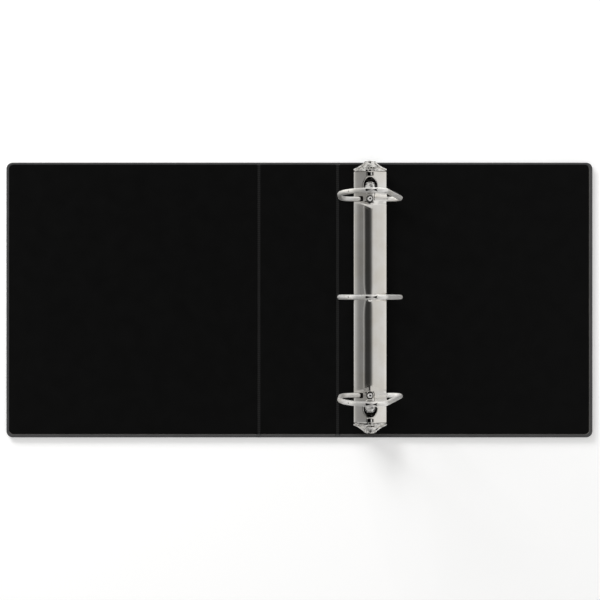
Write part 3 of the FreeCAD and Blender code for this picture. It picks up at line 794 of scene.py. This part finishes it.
def arm_cover(x, y, z):
    """Raises the right flank over the three right-hand arms."""
    if x < 2:
        return z
    away = abs(y)
    if away > 50:
        foot = min(max((away - COVER_FOOT_Y) / COVER_FOOT_WIDTH, 0.0), 1.0)
        cover = (0.75 * foot + 0.25 * smooth(0, 1, foot)) * smooth(*COVER_HEAD_Y, away)
        edge = COVER_EDGE_Z + (HALF_WIDTH - x) * COVER_SLOPE
        needed = edge + (away - COVER_CLIMB_Y) * COVER_CLIMB - z
        return z + max(needed, 0.0) * cover * smooth(2.0, 4.5, x)
    reach = math.hypot(away, max(TUNNEL_START + 2.0 - x, 0.0) * 0.9)
    if reach < TUNNEL_RADIUS:
        tunnel = TUNNEL_AXIS_Z + math.sqrt(TUNNEL_RADIUS ** 2 - reach ** 2)
    else:
        tunnel = TUNNEL_AXIS_Z - 2.0 * (reach - TUNNEL_RADIUS)
    share = min(max(0.5 + 0.5 * (tunnel - z) / TUNNEL_BLEND, 0.0), 1.0)
    return z * (1 - share) + tunnel * share + TUNNEL_BLEND * share * (1 - share)


def housing_top(x, y):
    """Height of the plate's upper face."""
    away = abs(y)
    edge = END_START_Y + END_SPREAD * abs(x)
    reach = 1.3 + 2.2 * smooth(6.0, 0.0, abs(x))
    end = smooth(edge - reach, edge + reach, away)
    narrow = 7.0 * math.exp(-(y / 9.0) ** 2)
    middle = arch(x, CROWN_RADIUS - narrow, 0.009 if x < 0 else 0.002)
    pressed = arch(x, END_CROWN_RADIUS, 0.002)
    pressed += END_RISE * max(0.0, 1.15 - math.hypot(x / SHOULDER_X, 0.15))
    z = middle * (1 - end) + pressed * end
    swell = math.exp(-((away - edge - 2.6) / 2.4) ** 2) * smooth(16.8, 10.0, abs(x))
    z += END_SWELL * swell * smooth(3.0, 7.0, -x)
    z = arm_cover(x, y, z)
    if away < 8:
        off = math.hypot(x, y - DIMPLE_Y)
        z += DIMPLE_RISE * smooth(DIMPLE_RADIUS, 0.9, off) - 0.5 * smooth(0.75, 0.35, off)
        z += 0.10 * math.exp(-((off - 3.4) / 0.35) ** 2)
    if away > 96:
        index = 1 if y > 0 else 0
        z -= rolled(BELLS[index].distance(x, y, 1.3), 1.3, 0.45)
        if away < 115 and abs(x) < 5:
            lip = math.cos(x / 5 * math.pi / 2) ** 0.5
            off = RIVET_Y - away - math.sqrt(max(BELL_RADIUS ** 2 - x * x, 0))
            z -= rolled(max(off, 0.0), 2.0, 1.7) * lip
        z -= rolled(EYELET_SLOTS[index].distance(x, y, 0.8), 0.8, 0.25)
        z -= rolled(JAW_SLOTS[index].distance(x, y, 1.0), 1.0, 0.35)
        z -= 0.2 * smooth(HALF_LENGTH - 0.7, HALF_LENGTH, away) * smooth(17.0, 13.0, abs(x))
    wave = field.noise(Vector((x * 0.05, y * 0.018, 3.0)))
    return z + 0.10 * wave * smooth(HALF_WIDTH, SHOULDER_X - 1, abs(x))


def housing_under(x, y, z):
    """The lower face: one sheet down, and drawn in at the sides."""
    bend = smooth(SHOULDER_X - 0.5, HALF_WIDTH, abs(x))
    inner_x = x
    if abs(x) > 14:
        inner_x = math.copysign(14 + (abs(x) - 14) * (HALF_WIDTH - SHEET - 14) / (HALF_WIDTH - 14), x)
    return inner_x, y, z - SHEET * (1 - bend) - 0.02


def local_metal(x, y, z):
    """A place on the ring metal, in metres of the frame."""
    return ((METAL_X + x) * MM, (METAL_Y + y) * MM, z * MM)


def side_wall(bm, side, y0, y1, low):
    """One stretch of upright side between the roof's shoulder and a lower edge."""
    count = max(2, math.ceil((y1 - y0) / 1.5))
    sections = []
    for i in range(count + 1):
        y = y0 + (y1 - y0) * i / count
        base = low(y)
        high = max(housing_top(side * HALF_WIDTH, y), base + 0.05)
        outside, within = side * HALF_WIDTH, side * (HALF_WIDTH - SHEET)
        sections.append([(outside, y, base), (outside, y, high), (within, y, high), (within, y, base)])
    add_hull(bm, sections, local_metal)


def housing(material):
    """The pressed plate with its side walls, inner lips, rivet seats and their short ramps."""
    bm = bmesh.new()
    columns = [-HALF_WIDTH + 0.05, -HALF_WIDTH + 0.3, -HALF_WIDTH + 0.75, -SHOULDER_X]
    columns += [-16.0 + 0.64 * i for i in range(51)]
    columns += [SHOULDER_X, HALF_WIDTH - 0.75, HALF_WIDTH - 0.3, HALF_WIDTH - 0.05]
    rows = [i * 1.6 for i in range(-57, 58)]
    rows += [side * (92.0 + 0.55 * i) for side in (-1, 1) for i in range(84)]
    rows += [0.5 * i for i in range(-13, 14) if abs(0.5 * i) % 1.6 > 0.1]
    openings = BELLS + EYELET_SLOTS + JAW_SLOTS
    add_sheet(bm, Outline(housing_outline()), openings, columns, sorted(set(rows)),
              housing_top, housing_under, local_metal)
    breaks = [-HALF_LENGTH] + [y + s * SLOT_HALF for y in RINGS_Y for s in (-1, 1)] + [HALF_LENGTH]
    for start, end in zip(breaks[::2], breaks[1::2]):
        side_wall(bm, -1, start, end, lambda y: COVER_TOP)
        side_wall(bm, 1, start, end, lambda y: COVER_TOP)
    for ring_y in RINGS_Y:
        def arched(y, centre=ring_y):
            return TUNNEL_AXIS_Z + math.sqrt(max(SLOT_HALF ** 2 - (y - centre) ** 2, 0))
        side_wall(bm, 1, ring_y - SLOT_HALF, ring_y + SLOT_HALF, arched)
        for side in (-1, 1):
            x0, x1 = sorted((side * HALF_WIDTH, side * (HALF_WIDTH - SHEET)))
            add_hull(bm, [[(x0, y, COVER_TOP), (x1, y, COVER_TOP),
                           (x1, y, SLOT_FOOT_Z), (x0, y, SLOT_FOOT_Z)]
                          for y in (ring_y - SLOT_HALF, ring_y + SLOT_HALF)], local_metal)
    for side in (-1, 1):
        x0, x1 = sorted((side * (HALF_WIDTH - SHEET), side * (HALF_WIDTH - LIP_REACH)))
        add_hull(bm, [[(x0, y, COVER_TOP), (x1, y, COVER_TOP),
                       (x1, y, COVER_TOP + SHEET), (x0, y, COVER_TOP + SHEET)]
                      for y in (-HALF_LENGTH, HALF_LENGTH)], local_metal)
        disc = [(x, side * RIVET_Y + y) for x, y in arc_points(0, 0, SEAT_RADIUS, 0, 360, 40)[:-1]]
        add_hull(bm, [[(x, y, SEAT_Z - SHEET) for x, y in disc], [(x, y, SEAT_Z) for x, y in disc]],
                 local_metal)
        inner = side * (RIVET_Y - 7.5)
        under = side * (RIVET_Y - 5.5)
        add_hull(bm, [[(x, inner, 10.2), (x, inner, 11.3),
                       (x, under, SEAT_Z), (x, under, SEAT_Z - SHEET)]
                      for x in (-4, 4)], local_metal)
    bmesh.ops.recalc_face_normals(bm, faces=bm.faces)
    finish_piece("housing", bm, material, "back_cover", "housing_plate")


# ---------------------------------------------------------------- levers
LEVER_BASE_Y = 138.4
LEVER_TIP_Y = 147.9
LEVER_RISE = 0.768
LEVER_SHEET = 1.3
SCALLOP_PITCH = 3.8
SCALLOP_RADIUS = 1.2
NECK_TOP_Z = 9.4
NECK_HALF = 6.0
TAB_START, TAB_END = 0.7, 3.7
TAB_RISE = 2.9
LEVER_SHOULDER = through((17.9, 140.8), (10.8, 143.6), (6.9, 146.2), 14)


def lever_outline():
    """Scalloped base, short sides, hollow shoulders and a rounded tip; the nick in the tip is a separate
    hole.
    """
    base = [(HALF_WIDTH, LEVER_BASE_Y)]
    half = [(HALF_WIDTH, 140.1)] + LEVER_SHOULDER
    half += [(6.2, 147.0), (5.7, 147.45), (4.8, 147.7), (2.4, 147.85), (0.5, LEVER_TIP_Y)]
    points = base + half + [(-x, y) for x, y in reversed(half)]
    points += [(-HALF_WIDTH, LEVER_BASE_Y)]
    for x in (-SCALLOP_PITCH, 0.0, SCALLOP_PITCH):
        points += arc_points(x, LEVER_BASE_Y, SCALLOP_RADIUS, 180, 0, 10)
    return split(points + base, 0.8)[:-1]


LEVER_LOOP = Outline(lever_outline())
PIT_Y = 146.5
PIT_RADIUS = 1.05
PIT_DEPTH = 1.6
PIT = Outline(arc_points(0, PIT_Y, PIT_RADIUS, 0, 360, 16)[:-1])


def lever_top(x, y):
    """Height of the lever's upper face: the plate's arch, rising outwards, with pressed relief."""
    run = y - LEVER_BASE_Y
    rise = LEVER_RISE * (1.4 + run) - 0.6 * math.exp(-((run - 1.8) / 1.0) ** 2)
    z = arch(min(abs(x), SHOULDER_X + 1.2), CROWN_RADIUS) + rise
    off = min(to_segment(abs(x), y, a, b) for a, b in zip(LEVER_SHOULDER, LEVER_SHOULDER[1:]))
    z += 0.8 * math.exp(-((off - 0.9) / 0.8) ** 2) - 0.5 * math.exp(-((off - 2.8) / 1.0) ** 2)
    hump = smooth(0.6, 5.0, run) * (1 - 0.6 * smooth(6.0, 9.0, run))
    z += 1.0 * hump * math.exp(-(x / 4.2) ** 2)
    z -= 0.5 * hump * math.exp(-((abs(x) - 6.6) / 1.5) ** 2) * smooth(7.5, 5.0, run)
    crumple = field.noise(Vector((x * 0.26, y * 0.36, 7.0))) * 0.75
    z += crumple * smooth(0.6, 2.4, run) * smooth(HALF_WIDTH, 14.0, abs(x))
    return z - 0.5 * smooth(0.8, 0.0, LEVER_TIP_Y - y)


def lever_under(x, y, z):
    """The lever's lower face, one sheet down."""
    return x, y, z - LEVER_SHEET


def lever(side, where, material):
    """The finger tab with its neck, the barrel on the pin and the jaws round the blades."""
    bm = bmesh.new()

    def local(x, y, z):
        return local_metal(x, side * y, z)

    columns = [-18.0 + 0.5 * i for i in range(73)]
    rows = [LEVER_BASE_Y + 0.45 * i for i in range(22)]
    add_sheet(bm, LEVER_LOOP, [PIT], columns, rows, lever_top, lever_under, local, 0.2)
    roof = ((134.0, NECK_TOP_Z), (141.4, NECK_TOP_Z), (142.6, 11.6), (143.6, 13.6))
    floor = ((144.8, 13.6), (143.2, 9.2), (140.0, 6.7), (137.0, 5.0), (134.0, 3.8))
    sections = []
    for x in [-NECK_HALF + 0.4 * i for i in range(31)]:
        tab = TAB_RISE - 0.32 * (x - 0.8) if TAB_START < x < TAB_END else 0.0
        raised = [(x, y, max(z, NECK_TOP_Z + tab)) for y, z in roof]
        sections.append(raised + [(x, y, z) for y, z in floor])
    add_hull(bm, sections, local)
    pit = lever_top(0, PIT_Y) - PIT_DEPTH
    add_hull(bm, [[(x, y, z) for x, y in rectangle(-1.6, 1.6, 144.9, 147.5, 1, 0.3)]
                  for z in (pit - 0.5, pit)], local)
    barrel = arc_points(PIN_Y, PIN_Z, BARREL_RADIUS, 0, 360, 28)[:-1]
    ends = [[(x, y, z) for y, z in barrel] for x in (-BARREL_HALF, BARREL_HALF)]
    add_hull(bm, ends, local)
    for y, z0, z1 in ((129.8, 3.4, 4.4), (130.0, 6.8, 7.9)):
        add_hull(bm, [[(x, y, z0), (x, PIN_Y, z0), (x, PIN_Y, z1), (x, y, z1)] for x in (-2.5, 2.5)],
                 local)
    bmesh.ops.recalc_face_normals(bm, faces=bm.faces)
    finish_piece("lever_" + where, bm, material, where + "_trigger",
                 "trigger_" + where)


# ---------------------------------------------------------------- the object
def paint(names, material):
    """Gives CAD nodes that are kept as they are their material."""
    for name in names:
        for slot in nodes[name].material_slots:
            slot.material = material


def build_cover():
    """Three panels, two hinge webs and the boards inside them."""
    outer = vinyl("outer_vinyl", dark=(0.054, 0.054, 0.055), light=(0.065, 0.065, 0.066),
                  roughness=0.42, specular=0.35, grain=0.25)
    inner = vinyl("inner_vinyl", dark=0.0026, light=0.0034, roughness=0.5, specular=0.06, grain=0.2)
    weld = vinyl("hinge_vinyl", dark=0.0088, light=0.0122, roughness=0.34, specular=0.25, grain=0.15,
                 shade=rib_shade)
    for panel, body, left_free, right_free in (("front", "front_cover", True, False),
                                               ("spine", "spine", False, False),
                                               ("back", "back_cover", False, True)):
        panel_skin(panel, body, left_free, right_free, outer)
        panel_liner(panel, body, left_free, right_free, inner)
    hinge_web("back_hinge_ribs", "back_hinge_web", weld, outer)
    hinge_web("front_hinge_ribs", "front_hinge_web", weld, outer)
    paint(["front_board", "spine_board", "back_board"], greyboard())


def build_metal():
    """Rings, housing, levers and the small fastenings."""
    rings = [n for n in nodes if n.startswith("ring_")]
    paint(rings, nickel("ring_nickel", roughness=0.30, wave=0.03, metallic=0.4,
                        colour=(0.95, 0.94, 0.92), shade=ring_shade))
    housing(nickel("housing_nickel", roughness=0.07, wave=0.06))
    lever_nickel = nickel("trigger_nickel", roughness=0.08, wave=0.12, shade=lever_shade,
                          tarnish=240.0)
    lever(1, "top", lever_nickel)
    lever(-1, "bottom", lever_nickel)
    paint(["rivet_top", "rivet_bottom"],
          nickel("rivet_nickel", roughness=0.16, wave=0.7, metallic=0.7, colour=(0.86, 0.85, 0.83),
                 ripple=420.0, tarnish=420.0))
    paint(["eyelet_top", "eyelet_bottom"],
          nickel("eyelet_nickel", roughness=0.3, wave=0.4, metallic=0.2, colour=(0.88, 0.87, 0.85),
                 ripple=400.0, tarnish=520.0))
    # Painted shade: the blades are near black so that the slots over them stay dark.
    paint(["blade_left", "blade_right"],
          steel("blade_steel", tone_and_painted_shade=(0.05, 0.045, 0.04), roughness=0.45))
    paint(["washer_top", "washer_bottom", "trigger_pin_top", "trigger_pin_bottom"],
          steel("zinc_steel", tone_and_painted_shade=(0.62, 0.62, 0.58), roughness=0.3))


add_camera()
add_world()
add_light()
add_floor()
build_cover()
build_metal()

bpy.context.scene.view_settings.view_transform = "Standard"
